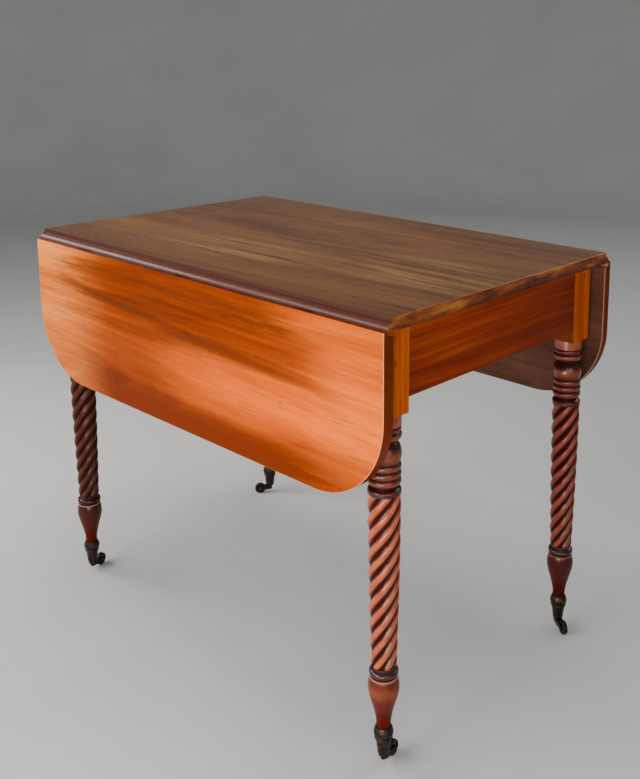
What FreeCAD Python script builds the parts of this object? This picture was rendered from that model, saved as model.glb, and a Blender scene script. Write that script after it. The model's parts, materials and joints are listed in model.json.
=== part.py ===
import FreeCAD
import Part
import math
import os

from collections import namedtuple
from FreeCAD import Rotation, Vector

# Pembroke table with rope-twist legs and cup casters, both leaves hanging. Millimetres, +Z up.
# The origin lies on the floor under the middle of the top. X runs along the joint lines of the leaves,
# the front leaf hangs at -Y, and the right end is at +X.

# Top and leaves
HEIGHT = 730.0
TOP_LENGTH = 925.0
TOP_WIDTH = 564.0
BOARD_THICKNESS = 20.0
LEAF_WIDTH = 269.0
LEAF_CORNER_RADIUS = 140.0
ARRIS_RADIUS = 1.5

# Rule joint: a rounded edge on the top turns inside a hollow edge on the leaf, about the hinge pin
RULE_JOINT_QUIRK = 7.5
RULE_JOINT_GAP = 0.5

# Frame
POST_SIZE = 50.0
POST_DROP = 22.5
FRAME_ARRIS_RADIUS = 1.0
APRON_HEIGHT = 116.0
APRON_THICKNESS = 20.0
APRON_SETBACK = 2.0
END_OVERHANG = 22.5
SIDE_INSET = 12.0
SIDE_RAIL_THICKNESS = 20.0
SIDE_RAIL_INSET = 28.0
TENON_THICKNESS = 8.0
APRON_TENON_END_WALL = 10.0
RAIL_TENON_END_WALL = 25.0
TENON_TOP_SHOULDER = 10.0
TENON_BOTTOM_SHOULDER = 12.0
JOINERY_GAP = 0.1
PEG_RADIUS = 3.5
PEG_EDGE_DISTANCE = 30.0
PEG_SPACING = 38.0
PEG_PAST_TENON = 6.0

# Turned upper leg, from the post down. A pull is the share of its height over which a curve runs straight
COLLAR_HEIGHT = 16.5
COLLAR_RADIUS = 25.0
GROOVE_RADIUS = 23.0
THIN_RING_HEIGHT = 9.0
THIN_RING_RADIUS = 24.8
WIDE_RING_HEIGHT = 11.5
WIDE_RING_RADIUS = 25.6
BULB_NECK_HEIGHT = 4.3
BULB_NECK_RADIUS = 18.5
BULB_SHOULDER_HEIGHT = 19.0
BULB_SHOULDER_PULL = 0.6
BULB_RADIUS = 25.6
BULB_TOE_HEIGHT = 12.5
BULB_TOE_PULL = 0.5
BEAD_COUNT = 3
BEAD_HEIGHT = 11.5
BEAD_RADIUS = 25.3
CAP_NECK_HEIGHT = 3.5
CAP_NECK_RADIUS = 19.7
CAP_DOME_HEIGHT = 6.0
CAP_PULL = 0.5
CAP_LIP_HEIGHT = 4.5
CAP_RADIUS = 25.4

# Rope twist, all four legs turned the same way, each with its first strand at its own angle.
# A drop is measured in from the crest of a strand, at the top of the twist
STRAND_COUNT = 6
TWIST_LEAD = 168.0
TWIST_TOP_RADIUS = 25.0
TWIST_BOTTOM_RADIUS = 20.0
STRAND_SHARE = 0.6
STRAND_EDGE_DROP = 2.2
HOLLOW_DROP = 4.2
RIDGE_DROP = 3.0
TWIST_END_HEIGHT = 7.0
TWIST_END_DRAW_IN = 2.0
TWIST_SECTION_TURN = 24.0
FRONT_RIGHT_TWIST_START = 27.0
FRONT_LEFT_TWIST_START = 49.0
REAR_RIGHT_TWIST_START = 24.0
REAR_LEFT_TWIST_START = 38.0

# Turned lower leg, from the twist down
FOOT_NECK_HEIGHT = 4.0
FOOT_NECK_RADIUS = 17.6
FOOT_RING_HEIGHT = 12.0
FOOT_RING_RADIUS = 22.8
FOOT_FILLET_HEIGHT = 3.0
FOOT_FILLET_RADIUS = 21.6
VASE_SHOULDER_HEIGHT = 17.0
VASE_SHOULDER_PULL = 0.6
VASE_RADIUS = 24.2
VASE_TAPER_HEIGHT = 64.0
VASE_UPPER_PULL = 0.25
VASE_LOWER_PULL = 0.36
ANKLE_RADIUS = 11.2
ANKLE_ABOVE_CUP = 3.5

# Caster
WHEEL_RADIUS = 12.5
WHEEL_WIDTH = 8.0
WHEEL_EDGE_RADIUS = 1.5
WHEEL_DISH_DEPTH = 1.0
WHEEL_HUB_RADIUS = 4.5
WHEEL_RIM_WIDTH = 3.0
WHEEL_SIDE_GAP = 0.4
WHEEL_RIM_GAP = 0.8
AXLE_RADIUS = 2.0
AXLE_HEAD_RADIUS = 2.9
AXLE_HEAD_HEIGHT = 0.9
RUNNING_GAP = 0.05
CHEEK_THICKNESS = 2.2
CHEEK_EYE_RADIUS = 4.2
HORN_HUB_TOP_RADIUS = 5.6
HORN_HUB_BOTTOM_RADIUS = 4.8
HORN_HUB_HEIGHT = 8.6
HORN_WEB = 5.1
PIVOT_RADIUS = 3.0
PIVOT_HEAD_RADIUS = 4.4
PIVOT_HEAD_HEIGHT = 2.0
PIVOT_GROUND_CLEARANCE = 8.4
THRUST_GAP = 0.25
CUP_HEIGHT = 47.0
CUP_FLOOR = 3.5
CUP_BOTTOM_RADIUS = 9.2
CUP_BODY_RADIUS = 12.2
CUP_BEAD_HEIGHT = 4.0
CUP_BEAD_RADIUS = 14.3
CUP_RING_HEIGHT = 17.0
CUP_RING_RADIUS = 15.6
CUP_RING_UPPER_SHARE = 0.6
CUP_RING_PULL = 0.4
CUP_WALL = 1.5
CUP_FIT_GAP = 0.1
CUP_CHAMFER = 1.2
CUP_SCREW_HEIGHT = 16.0
FRONT_RIGHT_TRAIL_ANGLE = 98.0
FRONT_LEFT_TRAIL_ANGLE = 108.0
REAR_RIGHT_TRAIL_ANGLE = -32.0
REAR_LEFT_TRAIL_ANGLE = -127.0

# Rule-joint hinges
HINGE_COUNT = 3
HINGE_END_INSET = 162.5
HINGE_WIDTH = 38.0
HINGE_KNUCKLE_WIDTH = 13.0
HINGE_KNUCKLE_RADIUS = 3.0
HINGE_PIN_RADIUS = 1.5
HINGE_END_GAP = 0.3
FLAP_THICKNESS = 2.5
TOP_FLAP_LENGTH = 32.0
LEAF_FLAP_LENGTH = 62.0
MORTISE_GAP = 0.2
KNUCKLE_GAP = 0.4

# Fly brackets: leaf supports that turn on wooden knuckle joints
FLY_FINGER_ROOM = 26.0
FLY_HEIGHT = 100.0
FLY_THICKNESS = 21.0
FLY_SCOOP_RADIUS = 55.0
FLY_TOP_CLEARANCE = 5.0
FLY_SIDE_GAP = 0.5
FLY_PIVOT_X = 150.0
FLY_PIN_RADIUS = 2.5
FINGER_COUNT = 5
FINGER_GAP = 0.4

# Blocks and screws
GLUE_BLOCK_SIZE = 24.0
GLUE_BLOCK_LENGTH = 60.0
GLUE_BLOCK_CHAMFER = 9.0
SIDE_BLOCK_X = 220.0
END_BLOCK_Y = 110.0
SCREW_HOLE_GAP = 0.1
TOP_SCREW_RADIUS = 2.2
TOP_SCREW_BITE = 10.0
TOP_SCREW_INSET = 8.0
FLY_RAIL_SCREW_RADIUS = 2.4
FLY_RAIL_SCREW_LENGTH = 36.0
FLY_RAIL_SCREW_X = 70.0
FLY_RAIL_SCREW_SPACING = 44.0
HINGE_SCREW_RADIUS = 1.5
HINGE_SCREW_LENGTH = 12.0
HINGE_SCREW_SPREAD = 22.0
HINGE_SCREW_EDGE = 9.0
CUP_SCREW_RADIUS = 1.2
CUP_SCREW_LENGTH = 8.0
SCREW_HEAD_RATIO = 2.0

# Levels
UNDERSIDE_Z = HEIGHT - BOARD_THICKNESS
PIN_Z = UNDERSIDE_Z + FLAP_THICKNESS
PIN_DEPTH = HEIGHT - PIN_Z
OVOLO_RADIUS = PIN_DEPTH - RULE_JOINT_QUIRK
LEAF_EDGE_RADIUS = OVOLO_RADIUS + RULE_JOINT_GAP
APRON_BOTTOM_Z = UNDERSIDE_Z - APRON_HEIGHT
POST_BOTTOM_Z = APRON_BOTTOM_Z - POST_DROP
TENON_TOP_Z = UNDERSIDE_Z - TENON_TOP_SHOULDER
TENON_BOTTOM_Z = APRON_BOTTOM_Z + TENON_BOTTOM_SHOULDER
PEG_TOP_Z = TENON_TOP_Z - TENON_TOP_SHOULDER
PEG_LEVELS = (PEG_TOP_Z, PEG_TOP_Z - PEG_SPACING)
FLY_TOP_Z = UNDERSIDE_Z - FLY_TOP_CLEARANCE
FLY_BOTTOM_Z = FLY_TOP_Z - FLY_HEIGHT
AXLE_Z = WHEEL_RADIUS
HORN_BOTTOM_Z = PIVOT_GROUND_CLEARANCE + PIVOT_HEAD_HEIGHT + THRUST_GAP
HORN_TOP_Z = HORN_BOTTOM_Z + HORN_HUB_HEIGHT
CUP_BOTTOM_Z = HORN_TOP_Z + THRUST_GAP
CUP_FLOOR_Z = CUP_BOTTOM_Z + CUP_FLOOR
CUP_TOP_Z = CUP_BOTTOM_Z + CUP_HEIGHT
ANKLE_Z = CUP_TOP_Z + ANKLE_ABOVE_CUP
VASE_HEIGHT = VASE_SHOULDER_HEIGHT + VASE_TAPER_HEIGHT
TWIST_BOTTOM_Z = ANKLE_Z + VASE_HEIGHT + FOOT_FILLET_HEIGHT + FOOT_RING_HEIGHT + FOOT_NECK_HEIGHT

# Foot of the leg inside the cup
CUP_BODY_DROP = CUP_HEIGHT - CUP_RING_HEIGHT - CUP_BEAD_HEIGHT
FOOT_TIP_RADIUS = CUP_BOTTOM_RADIUS - CUP_WALL
FOOT_HEIGHT = ANKLE_Z - CUP_FLOOR_Z
CUP_DEPTH = CUP_TOP_Z - CUP_FLOOR_Z
CUP_MOUTH_RADIUS = FOOT_TIP_RADIUS + (ANKLE_RADIUS - FOOT_TIP_RADIUS) * CUP_DEPTH / FOOT_HEIGHT

# Places across the table, from the middle outwards
JOINT_LINE_Y = TOP_WIDTH / 2
LEG_X = TOP_LENGTH / 2 - END_OVERHANG - POST_SIZE / 2
LEG_Y = JOINT_LINE_Y - SIDE_INSET - POST_SIZE / 2
POST_INNER_X = LEG_X - POST_SIZE / 2
POST_INNER_Y = LEG_Y - POST_SIZE / 2
POST_OUTER_X = LEG_X + POST_SIZE / 2
POST_OUTER_Y = LEG_Y + POST_SIZE / 2
APRON_OUTER_X = POST_OUTER_X - APRON_SETBACK
APRON_INNER_X = APRON_OUTER_X - APRON_THICKNESS
APRON_TENON_X = (APRON_OUTER_X + APRON_INNER_X) / 2
APRON_TENON_LENGTH = POST_SIZE - APRON_TENON_END_WALL
RAIL_OUTER_Y = POST_OUTER_Y - SIDE_RAIL_INSET
RAIL_INNER_Y = RAIL_OUTER_Y - SIDE_RAIL_THICKNESS
RAIL_TENON_Y = (RAIL_OUTER_Y + RAIL_INNER_Y) / 2
RAIL_TENON_LENGTH = POST_SIZE - RAIL_TENON_END_WALL
KNUCKLE_RADIUS = FLY_THICKNESS / 2
FLY_PIVOT_Y = RAIL_OUTER_Y + FLY_SIDE_GAP + KNUCKLE_RADIUS
FLY_INNER_Y = FLY_PIVOT_Y - KNUCKLE_RADIUS
FLY_OUTER_Y = FLY_PIVOT_Y + KNUCKLE_RADIUS
FLY_TIP_X = POST_INNER_X - FLY_FINGER_ROOM
FINGER_HEIGHT = FLY_HEIGHT / FINGER_COUNT
KNUCKLE_RELIEF = KNUCKLE_RADIUS + FLY_SIDE_GAP
TRAIL = HORN_HUB_TOP_RADIUS + HORN_WEB + WHEEL_RIM_GAP + WHEEL_RADIUS
CHEEK_INNER = WHEEL_WIDTH / 2 + WHEEL_SIDE_GAP
CHEEK_OUTER = CHEEK_INNER + CHEEK_THICKNESS
OUTER_HINGE_X = TOP_LENGTH / 2 - HINGE_END_INSET
HINGE_PLACES = [OUTER_HINGE_X * (2 * i / (HINGE_COUNT - 1) - 1) for i in range(HINGE_COUNT)]
TOP_SCREW_LENGTH = GLUE_BLOCK_SIZE + TOP_SCREW_BITE

X_AXIS = Vector(1, 0, 0)
Y_AXIS = Vector(0, 1, 0)
Z_AXIS = Vector(0, 0, 1)
ORIGIN = Vector(0, 0, 0)

# Each corner: its name, the end and side it stands on, its caster's trail and where its twist starts
Corner = namedtuple("Corner", "name end side trail_angle twist_start")
CORNERS = (
    Corner("front_right", 1, -1, FRONT_RIGHT_TRAIL_ANGLE, FRONT_RIGHT_TWIST_START),
    Corner("front_left", -1, -1, FRONT_LEFT_TRAIL_ANGLE, FRONT_LEFT_TWIST_START),
    Corner("rear_right", 1, 1, REAR_RIGHT_TRAIL_ANGLE, REAR_RIGHT_TWIST_START),
    Corner("rear_left", -1, 1, REAR_LEFT_TRAIL_ANGLE, REAR_LEFT_TWIST_START),
)


def save(name, *solids):
    """Write one node, of one solid or of several separate ones."""
    shape = solids[0] if len(solids) == 1 else Part.makeCompound(list(solids))
    shape.exportStep(os.path.join("parts", name + ".step"))


def box(x0, x1, y0, y1, z0, z1):
    """Box between two corners."""
    return Part.makeBox(x1 - x0, y1 - y0, z1 - z0, Vector(x0, y0, z0))


def rod(radius, start, direction, length):
    """Round bar from a point along a direction."""
    return Part.makeCylinder(radius, length, start, direction)


def flip_x(shape):
    """Mirror image across the middle of the length."""
    return shape.mirror(ORIGIN, X_AXIS)


def flip_y(shape):
    """Mirror image across the middle of the width."""
    return shape.mirror(ORIGIN, Y_AXIS)


def on_corner(shape, corner):
    """Copy of a piece drawn for the rear right corner, mirrored to another corner."""
    placed = shape.copy()
    if corner.end < 0:
        placed = flip_x(placed)
    if corner.side < 0:
        placed = flip_y(placed)
    return placed


def countersunk_screw(radius, length, place, direction, gap=0.0):
    """Countersunk wood screw driven along a direction from its head; with a gap it is the hole for one."""
    head_radius = radius * SCREW_HEAD_RATIO
    head_height = head_radius - radius
    outline = Part.makePolygon(
        [
            Vector(0, 0, 0),
            Vector(head_radius + gap, 0, 0),
            Vector(radius + gap, 0, head_height),
            Vector(radius + gap, 0, length - radius + gap),
            Vector(0, 0, length + gap),
            Vector(0, 0, 0),
        ]
    )
    screw = Part.Face(outline).revolve(ORIGIN, Z_AXIS, 360)
    screw.rotate(ORIGIN, *turn_from_z(direction))
    screw.translate(place)
    return screw


def turn_from_z(direction):
    """Axis and angle that carry +Z to a direction."""
    rotation = Rotation(Z_AXIS, direction)
    return rotation.Axis, math.degrees(rotation.Angle)


class Turning:
    """Half outline of a turned piece, drawn from the top down and spun about Z."""

    def __init__(self, radius, z):
        self.start = Vector(0, 0, z)
        self.point = Vector(radius, 0, z)
        self.edges = [Part.makeLine(self.start, self.point)]

    def step(self, radius):
        """Flat shoulder in or out to a radius."""
        return self.slope(radius, 0)

    def slope(self, radius, drop):
        """Straight line down to a radius."""
        end = Vector(radius, 0, self.point.z - drop)
        self.edges.append(Part.makeLine(self.point, end))
        self.point = end
        return self

    def bow(self, middle_radius, middle_drop, radius, drop):
        """Arc through a middle radius down to an end radius."""
        middle = Vector(middle_radius, 0, self.point.z - middle_drop)
        end = Vector(radius, 0, self.point.z - drop)
        self.edges.append(Part.Arc(self.point, middle, end).toShape())
        self.point = end
        return self

    def bead(self, radius, drop):
        """Round ring that swells to a radius and comes back."""
        return self.bow(radius, drop / 2, self.point.x, drop)

    def sweep(self, radius, drop, first_pull, last_pull):
        """Smooth curve to a radius, pulled straight down over a share of its drop at either end."""
        end = Vector(radius, 0, self.point.z - drop)
        poles = [self.point]
        if first_pull > 0:
            poles.append(self.point - Z_AXIS * drop * first_pull)
        if last_pull > 0:
            poles.append(end + Z_AXIS * drop * last_pull)
        poles.append(end)
        curve = Part.BezierCurve()
        curve.setPoles(poles)
        self.edges.append(curve.toShape())
        self.point = end
        return self

    def solid(self):
        """Spin the closed outline into a solid."""
        foot = Vector(0, 0, self.point.z)
        self.edges.append(Part.makeLine(self.point, foot))
        self.edges.append(Part.makeLine(foot, self.start))
        return Part.Face(Part.Wire(self.edges)).revolve(ORIGIN, Z_AXIS, 360)


# Legs


def upper_turning():
    """Collar, rings, bulb, beads and cap between the square post and the twist."""
    turning = Turning(COLLAR_RADIUS, POST_BOTTOM_Z)
    turning.slope(COLLAR_RADIUS, COLLAR_HEIGHT).step(GROOVE_RADIUS)
    turning.bead(THIN_RING_RADIUS, THIN_RING_HEIGHT)
    turning.bead(WIDE_RING_RADIUS, WIDE_RING_HEIGHT)
    turning.slope(BULB_NECK_RADIUS, BULB_NECK_HEIGHT)
    turning.sweep(BULB_RADIUS, BULB_SHOULDER_HEIGHT, 0, BULB_SHOULDER_PULL)
    turning.sweep(GROOVE_RADIUS, BULB_TOE_HEIGHT, BULB_TOE_PULL, 0)
    for _ in range(BEAD_COUNT):
        turning.bead(BEAD_RADIUS, BEAD_HEIGHT)
    turning.sweep(CAP_NECK_RADIUS, CAP_NECK_HEIGHT, 0, CAP_PULL)
    turning.sweep(CAP_RADIUS, CAP_DOME_HEIGHT, 0, CAP_PULL)
    turning.slope(CAP_RADIUS, CAP_LIP_HEIGHT)
    return turning


def lower_turning():
    """Neck, ring, vase and tapered foot below the twist."""
    turning = Turning(FOOT_NECK_RADIUS, TWIST_BOTTOM_Z)
    turning.slope(FOOT_NECK_RADIUS, FOOT_NECK_HEIGHT)
    turning.bead(FOOT_RING_RADIUS, FOOT_RING_HEIGHT)
    turning.step(FOOT_FILLET_RADIUS).slope(FOOT_FILLET_RADIUS, FOOT_FILLET_HEIGHT)
    turning.sweep(VASE_RADIUS, VASE_SHOULDER_HEIGHT, 0, VASE_SHOULDER_PULL)
    turning.sweep(ANKLE_RADIUS, VASE_TAPER_HEIGHT, VASE_UPPER_PULL, VASE_LOWER_PULL)
    turning.slope(FOOT_TIP_RADIUS, FOOT_HEIGHT)
    return turning


def strand_section(z, radius, angle):
    """Closed outline of the rope at one height: round strands, with a ridged hollow between them."""
    half = STRAND_SHARE / 2
    between = (half + 0.5) / 2
    half_profile = (
        (half / 2, STRAND_EDGE_DROP / 4),
        (half, STRAND_EDGE_DROP),
        (between, HOLLOW_DROP),
        (0.5, RIDGE_DROP),
    )
    profile = [(-turn, drop) for turn, drop in reversed(half_profile)] + [(0, 0)] + list(half_profile)
    strands = []
    for strand in range(STRAND_COUNT):
        points = []
        for turn, drop in profile:
            bearing = angle + (strand + turn) * 2 * math.pi / STRAND_COUNT
            reach = radius * (1 - drop / TWIST_TOP_RADIUS)
            points.append(Vector(reach * math.cos(bearing), reach * math.sin(bearing), z))
        curve = Part.BSplineCurve()
        curve.interpolate(Points=points, Parameters=list(range(len(points))))
        strands.append(curve.toShape())
    return Part.Wire(strands)


def rope_twist(top_z):
    """Right-handed rope that swells upwards, drawn in where it meets the neck of the foot."""
    length = top_z - TWIST_BOTTOM_Z
    count = math.ceil(360 * length / TWIST_LEAD / TWIST_SECTION_TURN)
    levels = [length * i / count for i in range(count + 1)]
    levels[1:1] = [TWIST_END_HEIGHT / 4, TWIST_END_HEIGHT]
    sections = []
    for level in levels:
        swell = math.sin(math.pi / 2 * level / length)
        radius = TWIST_BOTTOM_RADIUS + (TWIST_TOP_RADIUS - TWIST_BOTTOM_RADIUS) * swell
        if level < TWIST_END_HEIGHT:
            short = 1 - level / TWIST_END_HEIGHT
            radius -= TWIST_END_DRAW_IN * (1 - math.sqrt(1 - short * short))
        sections.append(strand_section(TWIST_BOTTOM_Z + level, radius, 2 * math.pi * level / TWIST_LEAD))
    return Part.makeLoft(sections, True, False)


def turned_leg():
    """Everything below the square post, about the leg's own axis."""
    upper = upper_turning()
    twist = rope_twist(upper.point.z)
    return twist.fuse([upper.solid(), lower_turning().solid()])


def post():
    """Square post of the rear right leg, with its two mortises and its peg holes, about the leg's axis."""
    half = POST_SIZE / 2
    block = box(-half, half, -half, half, POST_BOTTOM_Z, UNDERSIDE_Z)
    upright = [edge for edge in block.Edges if edge.BoundBox.ZLength > POST_SIZE]
    block = block.makeFillet(FRAME_ARRIS_RADIUS, upright)
    cuts = [grown(apron_tenon(), JOINERY_GAP), grown(rail_tenon(), JOINERY_GAP)]
    cuts += [peg(z, toward, JOINERY_GAP) for z in PEG_LEVELS for toward in ("end", "side")]
    for cut in cuts:
        cut.translate(Vector(-LEG_X, -LEG_Y, 0))
    return block.cut(cuts)


def grown(limits, gap):
    """Box from its limits, larger by a gap on every side."""
    x0, x1, y0, y1, z0, z1 = limits
    return box(x0 - gap, x1 + gap, y0 - gap, y1 + gap, z0 - gap, z1 + gap)


# Joinery, drawn for the rear right corner


def apron_tenon():
    """Limits of the end apron's tenon in the rear right post."""
    half = TENON_THICKNESS / 2
    x_limits = (APRON_TENON_X - half, APRON_TENON_X + half)
    y_limits = (POST_INNER_Y, POST_INNER_Y + APRON_TENON_LENGTH)
    return x_limits + y_limits + (TENON_BOTTOM_Z, TENON_TOP_Z)


def rail_tenon():
    """Limits of the side rail's tenon in the rear right post."""
    half = TENON_THICKNESS / 2
    x_limits = (POST_INNER_X, POST_INNER_X + RAIL_TENON_LENGTH)
    y_limits = (RAIL_TENON_Y - half, RAIL_TENON_Y + half)
    return x_limits + y_limits + (TENON_BOTTOM_Z, TENON_TOP_Z)


def peg(z, toward, gap=0.0):
    """Peg through the post and one tenon, from the end face or from the side face."""
    if toward == "end":
        depth = POST_OUTER_X - APRON_TENON_X + TENON_THICKNESS / 2 + PEG_PAST_TENON
        place = Vector(POST_OUTER_X, POST_INNER_Y + PEG_EDGE_DISTANCE, z)
        return rod(PEG_RADIUS + gap, place, -X_AXIS, depth + gap)
    depth = POST_OUTER_Y - RAIL_TENON_Y + TENON_THICKNESS / 2 + PEG_PAST_TENON
    place = Vector(POST_INNER_X + RAIL_TENON_LENGTH / 2, POST_OUTER_Y, z)
    return rod(PEG_RADIUS + gap, place, -Y_AXIS, depth + gap)


def end_apron():
    """Right end apron with a tenon at each end."""
    board = box(APRON_INNER_X, APRON_OUTER_X, -POST_INNER_Y, POST_INNER_Y, APRON_BOTTOM_Z, UNDERSIDE_Z)
    lower = [edge for edge in board.Edges if is_lower_arris(edge)]
    board = board.makeFillet(FRAME_ARRIS_RADIUS, lower)
    tenon = grown(apron_tenon(), 0)
    board = board.fuse([tenon, flip_y(tenon)]).removeSplitter()
    holes = [peg(z, "end", JOINERY_GAP) for z in PEG_LEVELS]
    return board.cut(holes + [flip_y(hole) for hole in holes])


def is_lower_arris(edge):
    """True for the two long edges under an end apron."""
    bounds = edge.BoundBox
    return bounds.ZMax < APRON_BOTTOM_Z + FRAME_ARRIS_RADIUS and bounds.YLength > APRON_THICKNESS


def side_rail():
    """Rear inner rail with a tenon at each end and pilot holes for the fly rail's screws."""
    board = box(-POST_INNER_X, POST_INNER_X, RAIL_INNER_Y, RAIL_OUTER_Y, APRON_BOTTOM_Z, UNDERSIDE_Z)
    tenon = grown(rail_tenon(), 0)
    board = board.fuse([tenon, flip_x(tenon)]).removeSplitter()
    holes = [peg(z, "side", JOINERY_GAP) for z in PEG_LEVELS]
    holes += [flip_x(hole) for hole in holes]
    return board.cut(holes + fly_rail_screws(SCREW_HOLE_GAP))


# Glue blocks under the top


def glue_block(place_x, place_y, along_y):
    """Chamfered block in the angle between a rail and the top, drawn against its rail's inner face."""
    size = GLUE_BLOCK_SIZE
    flat = size - GLUE_BLOCK_CHAMFER
    outline = Part.makePolygon(
        [
            Vector(0, 0, 0),
            Vector(0, 0, -size),
            Vector(0, -flat, -size),
            Vector(0, -size, -flat),
            Vector(0, -size, 0),
            Vector(0, 0, 0),
        ]
    )
    block = Part.Face(outline).extrude(Vector(GLUE_BLOCK_LENGTH, 0, 0))
    block.translate(Vector(-GLUE_BLOCK_LENGTH / 2, 0, 0))
    if along_y:
        block.rotate(ORIGIN, Z_AXIS, -90)
    block.translate(Vector(place_x, place_y, UNDERSIDE_Z))
    return block


def top_screw(place_x, place_y, gap=0.0):
    """Screw that goes up through a glue block into the top."""
    place = Vector(place_x, place_y, UNDERSIDE_Z - GLUE_BLOCK_SIZE)
    return countersunk_screw(TOP_SCREW_RADIUS, TOP_SCREW_LENGTH, place, Z_AXIS, gap)


def block_places():
    """Each glue block with the place of its screw, for the whole table."""
    beside_rail = glue_block(SIDE_BLOCK_X, RAIL_INNER_Y, False)
    beside_apron = glue_block(APRON_INNER_X, END_BLOCK_Y, True)
    places = []
    for corner in CORNERS:
        screw_y = corner.side * (RAIL_INNER_Y - TOP_SCREW_INSET)
        places.append((on_corner(beside_rail, corner), corner.end * SIDE_BLOCK_X, screw_y))
        screw_x = corner.end * (APRON_INNER_X - TOP_SCREW_INSET)
        places.append((on_corner(beside_apron, corner), screw_x, corner.side * END_BLOCK_Y))
    return places


# Rule-joint hinges, drawn for the rear side with the leaf hanging


def hinge_point(out, up):
    """Point in a rule joint, measured from the hinge pin outwards and upwards."""
    return Vector(0, JOINT_LINE_Y + out, PIN_Z + up)


def hinge_box(x0, x1, out0, out1, up0, up1):
    """Box in a rule joint, measured from the hinge pin."""
    return box(x0, x1, JOINT_LINE_Y + out0, JOINT_LINE_Y + out1, PIN_Z + up0, PIN_Z + up1)


def hinge_rod(radius, x0, x1):
    """Round bar along the hinge pin's axis."""
    return rod(radius, hinge_point(0, 0) + Vector(x0, 0, 0), X_AXIS, x1 - x0)


def top_screw_places(x):
    """Heads of the top flap's screws."""
    row = -TOP_FLAP_LENGTH + HINGE_SCREW_EDGE
    half = HINGE_SCREW_SPREAD / 2
    return [hinge_point(row, -FLAP_THICKNESS) + Vector(x + shift, 0, 0) for shift in (-half, half)]


def leaf_screw_places(x):
    """Heads of the leaf flap's screws, on the leaf's inner face."""
    last_row = -LEAF_FLAP_LENGTH + HINGE_SCREW_EDGE
    first_row = last_row + HINGE_SCREW_SPREAD
    half = HINGE_SCREW_SPREAD / 2
    places = [hinge_point(-FLAP_THICKNESS, last_row) + Vector(x + shift, 0, 0) for shift in (-half, half)]
    places.append(hinge_point(-FLAP_THICKNESS, first_row) + Vector(x, 0, 0))
    return places


def hinge_top_screw(place, gap=0.0):
    """Screw that goes up through the top flap."""
    return countersunk_screw(HINGE_SCREW_RADIUS, HINGE_SCREW_LENGTH, place, Z_AXIS, gap)


def hinge_leaf_screw(place, gap=0.0):
    """Screw that goes outwards through the leaf flap."""
    return countersunk_screw(HINGE_SCREW_RADIUS, HINGE_SCREW_LENGTH, place, Y_AXIS, gap)


def hinge_top_flap(x):
    """Short flap under the top, with the two outer knuckles."""
    half = HINGE_WIDTH / 2
    middle = HINGE_KNUCKLE_WIDTH / 2 + HINGE_END_GAP
    flap = hinge_box(x - half, x + half, -TOP_FLAP_LENGTH, 0, -FLAP_THICKNESS, 0)
    flap = flap.fuse(hinge_rod(HINGE_KNUCKLE_RADIUS, x - half, x + half))
    reach = HINGE_KNUCKLE_RADIUS + HINGE_END_GAP
    cuts = [hinge_box(x - middle, x + middle, -reach, reach, -reach, reach)]
    cuts.append(hinge_rod(HINGE_PIN_RADIUS + RUNNING_GAP, x - half, x + half))
    cuts += [hinge_top_screw(place, SCREW_HOLE_GAP) for place in top_screw_places(x)]
    return flap.cut(cuts)


def hinge_leaf_flap(x):
    """Long flap on the leaf, with the middle knuckle."""
    half = HINGE_WIDTH / 2
    middle = HINGE_KNUCKLE_WIDTH / 2
    reach = HINGE_KNUCKLE_RADIUS + HINGE_END_GAP
    flap = hinge_box(x - half, x + half, -FLAP_THICKNESS, 0, -LEAF_FLAP_LENGTH, 0)
    flap = flap.fuse(hinge_rod(HINGE_KNUCKLE_RADIUS, x - middle, x + middle))
    cuts = [hinge_box(x - half, x - middle, -reach, reach, -reach, reach)]
    cuts.append(hinge_box(x + middle, x + half, -reach, reach, -reach, reach))
    cuts.append(hinge_rod(HINGE_PIN_RADIUS + RUNNING_GAP, x - half, x + half))
    cuts += [hinge_leaf_screw(place, SCREW_HOLE_GAP) for place in leaf_screw_places(x)]
    return flap.cut(cuts)


def hinge_pin(x):
    """Pin through a hinge's three knuckles."""
    return hinge_rod(HINGE_PIN_RADIUS, x - HINGE_WIDTH / 2, x + HINGE_WIDTH / 2)


def top_mortise(x):
    """Room under the top for one hinge: the flap's seat, the knuckles and the leaf flap's path."""
    half = HINGE_WIDTH / 2 + MORTISE_GAP
    room = HINGE_KNUCKLE_RADIUS + KNUCKLE_GAP
    seat = hinge_box(x - half, x + half, -TOP_FLAP_LENGTH - MORTISE_GAP, -room, -FLAP_THICKNESS, 0)
    path = hinge_box(x - half, x + half, -room, LEAF_EDGE_RADIUS, -FLAP_THICKNESS, KNUCKLE_GAP)
    screws = [hinge_top_screw(place, SCREW_HOLE_GAP) for place in top_screw_places(x)]
    return [seat, path, hinge_rod(room, x - half, x + half)] + screws


def leaf_mortise(x):
    """Seat of one leaf flap in the leaf's inner face."""
    half = HINGE_WIDTH / 2 + MORTISE_GAP
    length = LEAF_FLAP_LENGTH + MORTISE_GAP
    seat = hinge_box(x - half, x + half, -FLAP_THICKNESS, 0, -length, 0)
    return [seat] + [hinge_leaf_screw(place, SCREW_HOLE_GAP) for place in leaf_screw_places(x)]


# Top and leaves


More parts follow.
